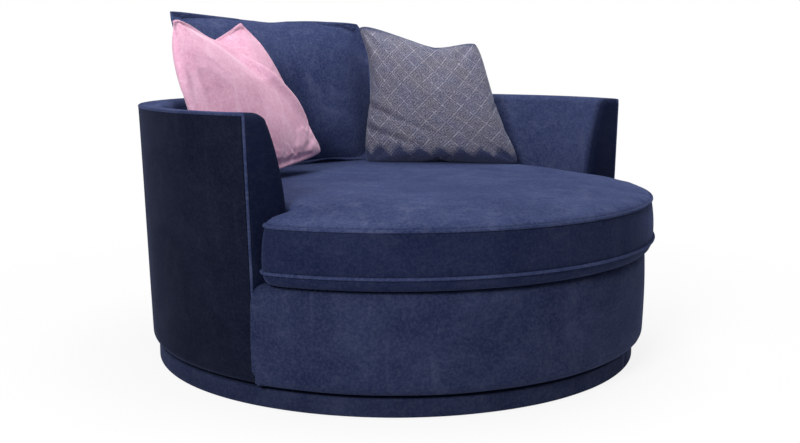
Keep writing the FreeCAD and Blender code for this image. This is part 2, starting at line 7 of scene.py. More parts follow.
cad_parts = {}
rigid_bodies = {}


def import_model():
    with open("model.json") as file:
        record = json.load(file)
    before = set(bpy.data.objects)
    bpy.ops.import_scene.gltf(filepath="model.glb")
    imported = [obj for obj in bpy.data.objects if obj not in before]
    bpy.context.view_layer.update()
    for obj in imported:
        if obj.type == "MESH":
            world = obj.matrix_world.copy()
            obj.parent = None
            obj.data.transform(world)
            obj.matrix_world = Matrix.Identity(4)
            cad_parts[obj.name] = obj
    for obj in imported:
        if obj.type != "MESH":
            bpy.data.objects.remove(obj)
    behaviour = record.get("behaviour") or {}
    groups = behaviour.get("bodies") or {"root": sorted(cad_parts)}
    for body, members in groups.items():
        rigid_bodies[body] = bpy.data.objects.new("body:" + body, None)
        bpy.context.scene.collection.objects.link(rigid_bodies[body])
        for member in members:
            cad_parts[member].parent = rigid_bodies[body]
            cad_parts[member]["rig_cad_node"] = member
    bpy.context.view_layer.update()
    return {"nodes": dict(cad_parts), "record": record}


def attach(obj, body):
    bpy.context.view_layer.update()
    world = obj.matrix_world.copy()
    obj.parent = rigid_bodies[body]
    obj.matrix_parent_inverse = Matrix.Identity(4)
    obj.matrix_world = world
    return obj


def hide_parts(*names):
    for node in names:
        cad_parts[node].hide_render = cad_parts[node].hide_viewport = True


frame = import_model()

# Round swivel cuddle chair in metres. Front is -Y, up is +Z, the swivel axis is Z.

# Small helpers for working by hand

def pick(obj):
    if bpy.context.object and bpy.context.object.mode != "OBJECT":
        bpy.ops.object.mode_set(mode="OBJECT")
    bpy.ops.object.select_all(action="DESELECT")
    obj.select_set(True)
    bpy.context.view_layer.objects.active = obj


def clearPick():
    if bpy.context.object and bpy.context.object.mode != "OBJECT":
        bpy.ops.object.mode_set(mode="OBJECT")
    bpy.ops.object.select_all(action="DESELECT")


def applied(obj, kind, **settings):
    pick(obj)
    added = obj.modifiers.new(kind.lower(), kind)
    for key, value in settings.items():
        setattr(added, key, value)
    bpy.ops.object.modifier_apply(modifier=added.name)


def coords(obj):
    flat = np.empty(len(obj.data.vertices) * 3)
    obj.data.vertices.foreach_get("co", flat)
    return flat.reshape(-1, 3)


def setCoords(obj, points):
    obj.data.vertices.foreach_set("co", np.asarray(points, float).reshape(-1))
    obj.data.update()


def smooth(obj, angle=None):
    pick(obj)
    if angle is None:
        bpy.ops.object.shade_smooth()
    else:
        bpy.ops.object.shade_smooth_by_angle(angle=math.radians(angle))


def closeUp(obj):
    pick(obj)
    bpy.ops.object.mode_set(mode="EDIT")
    bpy.ops.mesh.select_all(action="SELECT")
    bpy.ops.mesh.remove_doubles(threshold=0.00005)
    bpy.ops.mesh.normals_make_consistent(inside=False)
    bpy.ops.object.mode_set(mode="OBJECT")


# points of an arc in the (radius, height) plane, angles in degrees
def arc(middle, radius, start, end, count):
    turns = [math.radians(start + (end - start) * i / (count - 1)) for i in range(count)]
    return [(middle[0] + radius * math.cos(t), middle[1] + radius * math.sin(t)) for t in turns]


# the same outline with no step longer than stride
def finer(points, stride, closed=True):
    result = []
    last = len(points) if closed else len(points) - 1
    for i in range(last):
        a, b = points[i], points[(i + 1) % len(points)]
        steps = max(1, math.ceil(math.dist(a, b) / stride))
        for k in range(steps):
            result.append((a[0] + (b[0] - a[0]) * k / steps, a[1] + (b[1] - a[1]) * k / steps))
    if not closed:
        result.append(points[-1])
    return result


# a closed outline drawn by extruding one vertex, then spun round the swivel axis
def spun(name, outline, steps=240):
    clearPick()
    bpy.ops.mesh.primitive_plane_add(size=0.01, location=(0, 0, 0))
    obj = bpy.context.object
    obj.name = name
    bpy.ops.object.mode_set(mode="EDIT")
    bpy.ops.mesh.select_all(action="SELECT")
    bpy.ops.mesh.merge(type="CENTER")
    here = (0.0, 0.0)
    for number, point in enumerate(outline):
        move = (point[0] - here[0], 0, point[1] - here[1])
        if number == 0:
            bpy.ops.transform.translate(value=move)
        else:
            bpy.ops.mesh.extrude_region_move(TRANSFORM_OT_translate={"value": move})
        here = point
    bpy.ops.object.mode_set(mode="OBJECT")
    ends = (0, len(obj.data.vertices) - 1)
    for vertex in obj.data.vertices:
        vertex.select = vertex.index in ends
    bpy.ops.object.mode_set(mode="EDIT")
    bpy.ops.mesh.select_mode(type="VERT")
    bpy.ops.mesh.edge_face_add()
    bpy.ops.mesh.select_all(action="SELECT")
    bpy.ops.mesh.spin(steps=steps, angle=math.tau, center=(0, 0, 0), axis=(0, 0, 1))
    bpy.ops.object.mode_set(mode="OBJECT")
    closeUp(obj)
    return obj


# keeps what is behind a plane across Y, with a face over the cut
def keepBehind(obj, plane):
    pick(obj)
    bpy.ops.object.mode_set(mode="EDIT")
    bpy.ops.mesh.select_all(action="SELECT")
    bpy.ops.mesh.bisect(plane_co=(0, plane, 0), plane_no=(0, 1, 0), use_fill=True, clear_inner=True)
    bpy.ops.object.mode_set(mode="OBJECT")


# a loop of points drawn out ring by ring, starting from a circle
def ringed(name, rings, closeEnds):
    count = len(rings[0])
    clearPick()
    bpy.ops.mesh.primitive_circle_add(vertices=count, radius=0.5, fill_type="NOTHING")
    obj = bpy.context.object
    obj.name = name
    bpy.ops.object.mode_set(mode="EDIT")
    bpy.ops.mesh.select_all(action="SELECT")
    for _ in rings[1:]:
        bpy.ops.mesh.extrude_region_move(TRANSFORM_OT_translate={"value": (0, 0, 0.01)})
    if closeEnds:
        bpy.ops.mesh.edge_face_add()
    bpy.ops.object.mode_set(mode="OBJECT")
    setCoords(obj, np.concatenate([np.asarray(ring, float) for ring in rings]))
    if closeEnds:
        for vertex in obj.data.vertices:
            vertex.select = vertex.index < count
        bpy.ops.object.mode_set(mode="EDIT")
        bpy.ops.mesh.select_mode(type="VERT")
        bpy.ops.mesh.edge_face_add()
        bpy.ops.object.mode_set(mode="OBJECT")
    return obj


# A wall swept round the swivel axis between two ends in one plane across Y. Its section is a ladder:
# one rung for each level, from the inner to the outer radius, and its ends are closed with the same ladder.
def sweptWall(name, levels, inner, outer, shares, plane, backwards, stride=0.018):
    rungs = [[(inner(z) + (outer(z) - inner(z)) * f, z) for f in shares] for z in levels]
    loop = [rung[0] for rung in rungs] + rungs[-1][1:-1] + [rung[-1] for rung in reversed(rungs)]
    loop += rungs[0][-2:0:-1]
    toward = 1 if backwards else -1
    ends = [0, 0.002, 0.0045, 0.0075, 0.011, 0.0145, 0.0185, 0.024, 0.032, 0.043, 0.057]
    radius = outer(levels[-1])
    span = radius * math.acos(toward * plane / radius)
    half = ends + list(np.linspace(0.073, span, max(3, round((span - 0.073) / stride))))
    turns = [1 - d / span for d in half]
    turns += [-t for t in reversed(turns[:-1])]

    def placed(point, turn):
        reach = math.acos(toward * plane / point[0]) * turn
        return (point[0] * math.sin(reach), toward * point[0] * math.cos(reach), point[1])

    obj = ringed(name, [[placed(point, turn) for point in loop] for turn in turns], False)
    parts = [obj]
    for turn in (1, -1):
        clearPick()
        bpy.ops.mesh.primitive_grid_add(x_subdivisions=len(shares) - 1, y_subdivisions=len(levels) - 1,
                                        size=1)
        cap = bpy.context.object
        setCoords(cap, [placed(point, turn) for rung in rungs for point in rung])
        parts.append(cap)
    pick(obj)
    for part in parts:
        part.select_set(True)
    bpy.ops.object.join()
    closeUp(obj)
    return obj


# rounds the edge between a front plane and a soft outer face; depth(points) is how far in from that face
def roundEnd(obj, plane, backwards, edge, depth):
    points = coords(obj)
    along = (points[:, 1] - plane) * (1 if backwards else -1)
    step = 1e-5
    inside = depth(points)
    slope = np.zeros_like(points)
    for axis in range(3):
        moved = points.copy()
        moved[:, axis] += step
        slope[:, axis] = (depth(moved) - inside) / step
    slope[:, 1] = 0
    length = np.linalg.norm(slope, axis=1)
    slope /= np.maximum(length, 1e-6)[:, None]
    near = (along < edge) & (inside < edge) & (along > -1e-6) & (inside > -1e-4)
    a = edge - along
    b = edge - np.maximum(inside, 0)
    reach = np.maximum(np.hypot(a, b), 1e-9)
    moveAlong = np.where(near, a - a * edge / reach, 0)
    moveIn = np.where(near, b - b * edge / reach, 0)
    points[:, 1] += moveAlong * (1 if backwards else -1)
    points += slope * moveIn[:, None]
    setCoords(obj, points)


def cloudTexture(name, scale, depth=2):
    texture = bpy.data.textures.new(name, type="CLOUDS")
    texture.noise_scale = scale
    texture.noise_depth = depth
    return texture


# soft unevenness of padding under cloth
def uneven(obj, scale, strength):
    applied(obj, "DISPLACE", texture=cloudTexture(obj.name + "Cloud", scale), strength=strength,
            mid_level=0.5, texture_coords="LOCAL")


# a round cord along a line of points
def cordAlong(name, points, radius, closed):
    clearPick()
    data = bpy.data.curves.new(name, "CURVE")
    data.dimensions = "3D"
    line = data.splines.new("POLY")
    line.points.add(len(points) - 1)
    for spot, point in zip(line.points, points):
        spot.co = (*point, 1)
    line.use_cyclic_u = closed
    data.bevel_depth = radius
    data.bevel_resolution = 3
    data.use_fill_caps = True
    obj = bpy.data.objects.new(name, data)
    bpy.context.scene.collection.objects.link(obj)
    pick(obj)
    bpy.ops.object.convert(target="MESH")
    obj = bpy.context.object
    closeUp(obj)
    smooth(obj)
    return obj


# Shapes that several pieces share

# the round body: change its radii and heights here
tub = {
    "bodyFoot": 0.054,
    "footRadius": 0.648,       # outside of the body just above the plinth
    "lean": 0.0185,            # the outside gains this up to the rim
    "rimHeight": 0.6535,
    "innerRadius": 0.560,
    "flareHeight": 0.380,      # above this the inside leans outwards
    "flareRadius": 0.7336,
    "rollRadius": 0.025,       # soft inner edge of the rim
    "rollMiddle": 0.630,
    "armFront": -0.250,        # plane of the arm fronts
    "armEdge": 0.022,          # rounding of the arm fronts
    "wallFold": 0.004,         # thickness of the outside cover
    "footRoll": 0.02,          # the outside cover turns in round this
    "hemThickness": 0.0017,
    "hemReach": 0.596,         # the hem of the outside cover ends here
    "boardEdge": 0.6283,       # edge of the base board that it wraps
    "wallFoot": 0.2656,
    "welt": 0.0033,
}

# the loose seat
seat = {
    "underside": 0.2864,
    "bottomSeam": 0.317,
    "topSeam": 0.416,
    "top": 0.4569,
    "frontRadius": 0.678,
    "topSetBack": 0.008,
    "underSetBack": 0.023,
    "sideRadius": 0.556,
    "shoulder": -0.259,        # back of the two ears
    "earRound": 0.042,
    "crownWidth": 0.230,
    "crownShape": 1.9,         # more is flatter in the middle
    "dent": 0.0016,            # soft dents all over the top
    "pucker": 0.0011,          # gathers of the boxing at its welts
    "topPucker": 0.0013,       # and of the top beside its welt
    "puckerFrom": -0.30,       # the top is gathered in front of this
    "slack": 0.0016,           # loose waves half way up the boxing
    "seamSoft": 0.004,         # how soon the top rises from its seam
    "armSoft": 0.008,          # and how much later between the arms
    "edgePuff": 0.010,
    "boxingBulge": 0.0045,
    "welt": 0.0036,
    "heart": -0.300,           # the middle that the rings of cloth shrink towards
    "points": 420,
}


# outside and inside of the body wall at a height
def shellRadius(height):
    return tub["footRadius"] + tub["lean"] * (height - tub["bodyFoot"]) / (tub["rimHeight"] - tub["bodyFoot"])


def insideRadius(height):
    rollLow = tub["rimHeight"] - tub["rollRadius"]
    rise = np.clip(height - tub["flareHeight"], 0, rollLow - tub["flareHeight"])
    lean = tub["innerRadius"] + tub["flareRadius"] - np.sqrt(tub["flareRadius"] ** 2 - rise ** 2)
    up = np.clip(height - rollLow, 0, tub["rollRadius"])
    rolled = tub["rollMiddle"] - np.sqrt(np.maximum(tub["rollRadius"] ** 2 - up ** 2, 0))
    return np.where(height > rollLow, rolled, lean)


# how deep a point lies in the arm and back wall, from its inside and top faces
def wallDepth(points):
    radius = np.hypot(points[:, 0], points[:, 1])
    height = points[:, 2]
    rollLow = tub["rimHeight"] - tub["rollRadius"]
    corner = (height > rollLow) & (radius < tub["rollMiddle"])
    rolled = tub["rollRadius"] - np.hypot(radius - tub["rollMiddle"], height - rollLow)
    return np.where(corner, rolled, np.where(height > rollLow, tub["rimHeight"] - height,
                                             radius - insideRadius(height)))


# outline of the seat at a height, with its two ears in front of the arms
def seatOutline(level, extra=0.0):
    share = (level - seat["bottomSeam"]) / (seat["topSeam"] - seat["bottomSeam"])
    if level < seat["bottomSeam"]:
        share = 0.0
    wide = seat["frontRadius"] - seat["topSetBack"] * min(max(share, 0), 1) + extra
    if level < seat["bottomSeam"]:
        low = (seat["bottomSeam"] - level) / (seat["bottomSeam"] - seat["underside"])
        wide -= seat["underSetBack"] * (1 - math.sqrt(max(0.0, 1 - low ** 2))) * 0.9
    side = seat["sideRadius"] + extra * 0.3
    ear = seat["earRound"]
    plane = seat["shoulder"]
    line = []
    startTurn = math.degrees(math.asin(plane / side))
    for i in range(400):
        turn = math.radians(90 - (90 - startTurn) * i / 399)
        line.append((side * math.cos(turn), side * math.sin(turn)))
    middleX = math.sqrt((wide - ear) ** 2 - (plane - ear) ** 2)
    middle = (middleX, plane - ear)
    outTurn = math.degrees(math.atan2(middle[1], middle[0]))
    line += arc(middle, ear, 90, outTurn, 40)
    for i in range(1, 400):
        turn = math.radians(outTurn + (-90 - outTurn) * i / 399)
        line.append((wide * math.cos(turn), wide * math.sin(turn)))
    line += [(-x, y) for x, y in reversed(line[1:-1])]
    line = np.array(line)
    loop = np.vstack([line, line[:1]])
    lengths = np.concatenate([[0], np.cumsum(np.linalg.norm(np.diff(loop, axis=0), axis=1))])
    places = np.linspace(0, lengths[-1], seat["points"], endpoint=False)
    return np.stack([np.interp(places, lengths, loop[:, 0]), np.interp(places, lengths, loop[:, 1])], axis=1)


seatRim = seatOutline(seat["topSeam"])


# height of the seat's top face at each point
def seatTop(x, y):
    x = np.atleast_1d(x)
    y = np.atleast_1d(y)
    gap = np.empty(len(x))
    for start in range(0, len(x), 4000):
        part = slice(start, start + 4000)
        away = np.hypot(x[part, None] - seatRim[None, :, 0], y[part, None] - seatRim[None, :, 1])
        gap[part] = np.min(away, axis=1)
    wide = seat["frontRadius"] - seat["topSetBack"]
    share = np.clip((wide - np.hypot(x, y)) / seat["crownWidth"], 0, 1)
    crown = (seat["top"] - seat["topSeam"]) * (1 - (1 - share) ** seat["crownShape"])
    beside = np.clip((y + 0.34) / 0.16, 0, 1)
    soften = seat["seamSoft"] + seat["armSoft"] * beside
    puff = seat["edgePuff"] * np.exp(-gap / 0.05) * (1 - np.exp(-gap / 0.008)) * (1 - beside)
    wave = 1 + np.sin(9 * x + 3 * y + 0.6) * np.sin(8 * y - 4 * x)
    dent = seat["dent"] * wave * np.clip(gap / 0.08, 0, 1)
    return seat["topSeam"] + crown * (1 - np.exp(-gap / soften)) + puff - dent


# Finishes

# wraps a socket, so that shader maths reads as ordinary sums
class Wire:
    def __init__(self, paint, socket):
        self.paint = paint
        self.socket = socket

    def __add__(self, other):
        return self.paint.sum("ADD", self, other)

    def __radd__(self, other):
        return self.paint.sum("ADD", other, self)

    def __sub__(self, other):
        return self.paint.sum("SUBTRACT", self, other)

    def __rsub__(self, other):
        return self.paint.sum("SUBTRACT", other, self)

    def __mul__(self, other):
        return self.paint.sum("MULTIPLY", self, other)

    def __rmul__(self, other):
        return self.paint.sum("MULTIPLY", other, self)

    def __truediv__(self, other):
        return self.paint.sum("DIVIDE", self, other)

    def __pow__(self, other):
        return self.paint.sum("POWER", self, other)


class Paint:
    def __init__(self, name):
        self.material = bpy.data.materials.new(name)
        self.material.use_nodes = True
        self.tree = self.material.node_tree
        self.tree.nodes.clear()

    def node(self, kind, settings=None, sockets=None, output=0):
        made = self.tree.nodes.new(kind)
        for key, value in (settings or {}).items():
            if key == "stops":
                ramp = made.color_ramp
                while len(ramp.elements) < len(value):
                    ramp.elements.new(1)
                for stop, (place, colour) in zip(ramp.elements, value):
                    stop.position = place
                    stop.color = (*colour, 1)
            else:
                setattr(made, key, value)
        for key, value in (sockets or {}).items():
            if isinstance(value, Wire):
                self.tree.links.new(value.socket, made.inputs[key])
            else:
                made.inputs[key].default_value = value
        return Wire(self, made.outputs[output]) if len(made.outputs) else None

    def sum(self, operation, *values):
        return self.node("ShaderNodeMath", {"operation": operation}, dict(enumerate(values)))

    def blend(self, share, first, second, mode="MIX"):
        tones = {0: share, 6: first if isinstance(first, Wire) else (*first, 1),
                 7: second if isinstance(second, Wire) else (*second, 1)}
        return self.node("ShaderNodeMix", {"data_type": "RGBA", "blend_type": mode}, tones, 2)

    def between(self, value, low, high):
        return self.node("ShaderNodeMapRange", {"clamp": True}, {0: value, 1: low, 2: high, 3: 0.0, 4: 1.0})

    def here(self, output="Object"):
        return self.node("ShaderNodeTexCoord", None, None, output)

    def stretched(self, place, scale, turn=(0, 0, 0)):
        return self.node("ShaderNodeMapping", None, {"Vector": place, "Scale": scale, "Rotation": turn})

    def noise(self, place, scale, detail=2.0, roughness=0.5, warp=0.0):
        return self.node("ShaderNodeTexNoise", None, {
            "Vector": place, "Scale": scale, "Detail": detail, "Roughness": roughness, "Distortion": warp})

    def parts(self, place):
        made = self.tree.nodes.new("ShaderNodeSeparateXYZ")
        self.tree.links.new(place.socket, made.inputs[0])
        return [Wire(self, output) for output in made.outputs]

    def bump(self, height, strength, distance):
        sockets = {"Height": height, "Strength": strength, "Distance": distance}
        return self.node("ShaderNodeBump", None, sockets)

    def finish(self, **sockets):
        named = {key.replace("_", " "): value for key, value in sockets.items()}
        shader = self.node("ShaderNodeBsdfPrincipled", None, named)
        self.node("ShaderNodeOutputMaterial", None, {"Surface": shader})
        return self.material


velvetLook = {
    "deep": (0.0125, 0.0185, 0.0550),
    "lit": (0.0295, 0.0395, 0.0930),
    "brush": (0.0660, 0.0760, 0.1340),
    "sheen": 0.12,
    "sheenTint": (0.36, 0.46, 1.0, 1),
    "sheenRoughness": 0.35,
    "nap": 5.0,
}
# painted light and shade: each piece gets a lit or shaded copy of the one velvet, its colours and sheen
# scaled by this number
velvetLightAndShade = {
    "outside": 0.20, "inside": 1.40, "front": 0.72, "plinth": 0.58,
    "seat": 1.36, "back": 1.66, "welt": 1.0, "cord": 1.15,
}
# painted shade on the arm fronts and the seat's boxing, made darker than the rest of their piece: axis, from,
# to, share of its light
velvetShadedFaces = {"inside": (1, -0.200, -0.235, 0.15), "seat": (2, 0.424, 0.412, 0.30)}
pinkLook = {
    "deep": (0.65, 0.315, 0.450),
    "lit": (0.79, 0.440, 0.590),
    "brush": (0.90, 0.640, 0.760),
    "sheen": 0.40,
    "sheenTint": (1.0, 0.86, 0.93, 1),
    "sheenRoughness": 0.40,
    "nap": 9.0,
}
jacquardLook = {
    "ground": (0.020, 0.028, 0.080),
    "weave": (0.112, 0.112, 0.172),
    "taupe": (0.150, 0.132, 0.138),
    "thread": (0.400, 0.385, 0.450),
    "across": 0.058,
    "up": 0.054,
    "width": 0.440,
    "height": 0.405,
}


# short pile that has been stroked one way and another
def makeVelvet(name, look, shade=1.0, shadedFace=None):
    paint = Paint(name)
    # painted light and shade: this copy's colours are scaled by shade, and its sheen further down too
    deep, lit, brush = [tuple(part * shade for part in look[key]) for key in ("deep", "lit", "brush")]
    place = paint.here()
    cloudy = paint.noise(paint.stretched(place, (1, 1, 1.3)), look["nap"], 4.0, 0.62, 0.8)
    strokes = paint.noise(paint.stretched(place, (1, 1, 2.6)), look["nap"] * 4.5, 3.0, 0.6, 1.2)
    grain = paint.noise(place, 150.0, 4.0, 0.80)
    rubbed = paint.noise(paint.stretched(place, (1, 1, 0.35)), look["nap"] * 2.2, 2.0, 0.5, 1.8)
    pile = paint.noise(place, 620.0, 2.0, 0.6)
    patch = paint.between(cloudy, 0.30, 0.72)
    stroke = paint.between(strokes, 0.50, 0.72) * 0.42
    tone = paint.blend(patch, deep, lit)
    tone = paint.blend(stroke * (patch * 0.7 + 0.3), tone, brush)
    tone = paint.blend(paint.between(rubbed, 0.58, 0.76) * 0.34, tone, brush)
    tone = paint.blend(paint.between(grain, 0.44, 0.66) * 0.36, tone, brush)
    tone = paint.blend(paint.between(grain, 0.52, 0.34) * 0.36, tone, deep)
    # painted shade: a band along one axis is blended towards a near-black navy
    if shadedFace:
        axis, low, high, share = shadedFace
        spot = paint.parts(place)[axis]
        dark = paint.between(spot, low, high) * (1 - share)
        tone = paint.blend(dark, tone, (0.0006, 0.0020, 0.0110))
    height = pile * 0.6 + grain * 0.5 + cloudy * 0.5
    return paint.finish(
        Base_Color=tone, Roughness=0.88 - patch * 0.10, Normal=paint.bump(height, 0.35, 0.0009),
        Sheen_Weight=look["sheen"] * (0.5 + shade / 2), Sheen_Roughness=look["sheenRoughness"],
        Sheen_Tint=look["sheenTint"], Specular_IOR_Level=0.03)


# lattice of nested diamonds woven in light thread over a dark ground
def makeJacquard():
    look = jacquardLook
    paint = Paint("greyJacquard")
    across, up, _ = paint.parts(paint.here("UV"))
    x = across * look["width"]
    y = up * look["height"]
    one = paint.sum("FRACT", x / look["across"] + y / look["up"] + 10.0)
    two = paint.sum("FRACT", x / look["across"] - y / look["up"] + 10.0)
    rim = paint.sum("MAXIMUM", paint.sum("ABSOLUTE", one - 0.5), paint.sum("ABSOLUTE", two - 0.5)) * 2
    nested = paint.sum("ABSOLUTE", paint.sum("FRACT", rim * 3.0 + 0.5) - 0.5) * 2
    line = 1 - paint.between(nested, 0.28, 0.55)
    border = paint.between(rim, 0.88, 0.95)
    stitch = paint.sum("SINE", y * 2100.0) * 0.5 + 0.5
    fleck = paint.between(paint.noise(paint.here("UV"), 105.0, 3.0, 0.85), 0.40, 0.62)
    broken = paint.between(paint.noise(paint.here("UV"), 26.0, 2.0, 0.6), 0.38, 0.60)
    worn = paint.between(paint.noise(paint.here("UV"), 7.0, 3.0), 0.34, 0.68)
    edge = paint.noise(paint.here("UV"), 30.0, 2.0) * 0.05
    zigzag = paint.sum("PINGPONG", x + 0.006, look["across"] / 2) * 2.4
    bottom = paint.between(up + edge + zigzag, 0.205, 0.155)
    top = paint.between(up - edge, 0.925, 0.965)
    shaded = paint.sum("MAXIMUM", bottom, top)
    cover = (line * 0.42 * (0.35 + broken * 0.65) + border * (0.10 + broken * 0.34)) * (0.30 + fleck * 0.70)
    cover = cover + fleck * 0.22
    tone = paint.blend(0.10 + fleck * 0.90, look["ground"], paint.blend(worn, look["weave"], look["taupe"]))
    tone = paint.blend(paint.sum("MINIMUM", cover, 1.0), tone, look["thread"])
    tone = paint.blend(shaded * (1.0 - fleck * 0.18), tone, look["ground"])
    height = cover * 1.4 + stitch * 0.20 + fleck * 0.3
    return paint.finish(
        Base_Color=tone, Roughness=0.72 - cover * 0.18, Normal=paint.bump(height, 0.35, 0.0008),
        Sheen_Weight=0.18, Sheen_Roughness=0.5, Sheen_Tint=(0.7, 0.75, 1.0, 1), Specular_IOR_Level=0.15)


# boards and blocks
def makeWood(name, light, dark, scale):
    paint = Paint(name)
    place = paint.here()
    grain = paint.noise(paint.stretched(place, (3, 40, 40)), scale, 4.0, 0.6, 1.2)
    pores = paint.noise(paint.stretched(place, (30, 300, 300)), scale, 2.0)
    tone = paint.blend(paint.between(grain, 0.3, 0.7), light, dark)
    tone = paint.blend(paint.between(pores, 0.55, 0.75) * 0.4, tone, dark)
    relief = paint.bump(grain, 0.15, 0.0005)
    return paint.finish(Base_Color=tone, Roughness=0.55 + grain * 0.25, Normal=relief)


def makeMetal(name, tone, worn, roughness):
    paint = Paint(name)
    cloudy = paint.noise(paint.here(), 60.0, 3.0)
    scratches = paint.noise(paint.stretched(paint.here(), (20, 400, 400)), 4.0, 2.0)
    colour = paint.blend(paint.between(cloudy, 0.35, 0.7), tone, worn)
    return paint.finish(Base_Color=colour, Metallic=1.0, Roughness=roughness + scratches * 0.2)


def makeDull(name, tone, other, scale, roughness):
    paint = Paint(name)
    cloudy = paint.noise(paint.here(), scale, 3.0, 0.6)
    colour = paint.blend(paint.between(cloudy, 0.3, 0.7), tone, other)
    return paint.finish(Base_Color=colour, Roughness=roughness, Normal=paint.bump(cloudy, 0.2, 0.0005))


# lit and shaded copies of the velvet, one for each piece, as painted light and shade
velvets = {part: makeVelvet(part + "Velvet", velvetLook, shade, velvetShadedFaces.get(part))
           for part, shade in velvetLightAndShade.items()}
pinkVelvet = makeVelvet("pinkVelvet", pinkLook)
greyJacquard = makeJacquard()
finishes = {
    "navy_velvet": velvets["front"], "navy_welt": velvets["welt"],
    "pink_velvet": pinkVelvet, "grey_jacquard": greyJacquard,
    "dark_cloth": makeDull("darkCloth", (0.010, 0.010, 0.013), (0.022, 0.022, 0.026), 900, 0.95),
    "felt_liner": makeDull("feltLiner", (0.25, 0.24, 0.21), (0.35, 0.34, 0.30), 300, 0.95),
    "cream_foam": makeDull("creamFoam", (0.72, 0.64, 0.42), (0.80, 0.74, 0.53), 700, 0.9),
    "white_fibre": makeDull("whiteFibre", (0.78, 0.78, 0.76), (0.88, 0.88, 0.87), 200, 0.9),
    "beech": makeWood("beech", (0.50, 0.31, 0.16), (0.34, 0.19, 0.09), 1.0),
    "plywood": makeWood("plywood", (0.56, 0.39, 0.22), (0.41, 0.26, 0.13), 0.7),
    "zinc_steel": makeMetal("zincSteel", (0.52, 0.53, 0.55), (0.40, 0.41, 0.43), 0.32),
    "spring_steel": makeMetal("springSteel", (0.16, 0.16, 0.17), (0.09, 0.09, 0.10), 0.38),
    "cage_plastic": makeDull("cagePlastic", (0.012, 0.012, 0.012), (0.022, 0.022, 0.022), 200, 0.5),
    "glide_plastic": makeDull("glidePlastic", (0.015, 0.015, 0.015), (0.028, 0.028, 0.028), 200, 0.55),
    "zip_tape": makeDull("zipTape", (0.008, 0.011, 0.030), (0.018, 0.023, 0.055), 1200, 0.8),
}


def dressed(obj, slot, finish=None):
    obj.data.materials.clear()
    obj.data.materials.append(finish or finishes[slot])
    "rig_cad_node" not in obj.keys()


for part in frame["record"]["subparts"]:
    dressed(frame["nodes"][part["node"]], part["material_slot"])


# Plinth

# its cover, with the seam where the cloth meets itself
plinth = {
    "radius": 0.635,
    "foot": 0.0023,
    "top": 0.046,
    "footEdge": 0.003,         # rounding of the two edges
    "topEdge": 0.004,
    "skin": 0.0043,
    "hemWidth": 0.035,         # how far the cloth turns in
    "footHem": 0.0015,
    "topHem": 0.0019,
    "seamTurn": -64.8,         # degrees round the plinth
    "seamHalf": 0.3,           # half the width of the seam, in degrees
    "lipTurn": 0.95,           # the columns beside the seam come this much nearer
    "seamDepth": 0.0016,
    "unevenness": 0.0012,
}


def makePlinth():
    high, low = plinth["top"], plinth["foot"]
    radius = plinth["radius"]
    hem = radius - plinth["hemWidth"]
    back = radius - plinth["skin"]
    footEdge, topEdge = plinth["footEdge"], plinth["topEdge"]
    outline = [(hem, low)] + arc((radius - footEdge, low + footEdge), footEdge, -90, 0, 4)
    outline += arc((radius - topEdge, high - topEdge), topEdge, 0, 90, 5) + [(hem, high)]
    outline += [(hem, high - plinth["topHem"]), (back, high - plinth["topHem"])]
    outline += [(back, low + plinth["footHem"]), (hem, low + plinth["footHem"])]
    obj = spun("plinthSkirt", finer(outline, 0.012), 300)
    uneven(obj, 0.30, plinth["unevenness"])
    points = coords(obj)
    reach = np.hypot(points[:, 0], points[:, 1])
    angle = np.degrees(np.arctan2(points[:, 1], points[:, 0]))
    off = angle - plinth["seamTurn"]
    lips = (np.abs(off) > 0.9) & (np.abs(off) < 1.5)
    angle[lips] -= np.sign(off[lips]) * plinth["lipTurn"]
    dent = np.where((np.abs(off) < plinth["seamHalf"]) & (reach > radius - 0.006), plinth["seamDepth"], 0)
    points[:, 0] = (reach - dent) * np.cos(np.radians(angle))
    points[:, 1] = (reach - dent) * np.sin(np.radians(angle))
    setCoords(obj, points)
    smooth(obj, 50)
    dressed(obj, "navy_velvet", velvets["plinth"])
    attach(obj, "plinth")
    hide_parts("plinth_cover")
    return obj


# Tub

def makeOutside():
    high = tub["rimHeight"] - 2 * tub["welt"] + 0.0004
    foot = tub["bodyFoot"]
    roll, wall, hem = tub["footRoll"], tub["wallFold"], tub["hemThickness"]
    radius = shellRadius(foot + roll)
    middle = (radius - roll, foot + roll)
    outline = [(tub["hemReach"], foot)] + arc(middle, roll, -90, 0, 8)
    outline += [(shellRadius(high), high), (shellRadius(high) - wall, high)]
    outline += arc(middle, roll - wall, 0, -90, 6)
    outline += [(tub["boardEdge"], foot + wall), (tub["boardEdge"], foot + hem)]
    outline += [(tub["hemReach"], foot + hem)]
    obj = spun("outsidePanel", finer(outline, 0.022))
    keepBehind(obj, tub["armFront"] + 2 * tub["welt"])
    uneven(obj, 0.35, 0.0030)
    smooth(obj, 50)
    dressed(obj, "navy_velvet", velvets["outside"])
    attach(obj, "tub")
    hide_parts("outside_cover")
    return obj


def makeInside():
    high = tub["rimHeight"]
    skin = 2 * tub["welt"] + 0.0002
    rollLow = high - tub["rollRadius"]
    levels = list(np.linspace(tub["wallFoot"], rollLow - 0.02, 24)) + [rollLow - 0.011, rollLow - 0.003]
    turns = (6, 16, 26, 37, 48, 59, 70, 81, 90)
    levels += [rollLow + tub["rollRadius"] * math.sin(math.radians(t)) for t in turns]
    shares = (0, 0.03, 0.07, 0.12, 0.18, 0.25, 0.34, 0.45, 0.57, 0.70, 0.82, 0.92, 1)
    obj = sweptWall("insidePanel", levels, lambda z: float(insideRadius(np.array(z))),
                    lambda z: shellRadius(z) - skin, shares, tub["armFront"], True)
    roundEnd(obj, tub["armFront"], True, tub["armEdge"], wallDepth)
    uneven(obj, 0.22, 0.0030)
    smooth(obj, 50)
    dressed(obj, "navy_velvet", velvets["inside"])
    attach(obj, "tub")
    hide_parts("inside_cover", "inside_foam")
    return obj


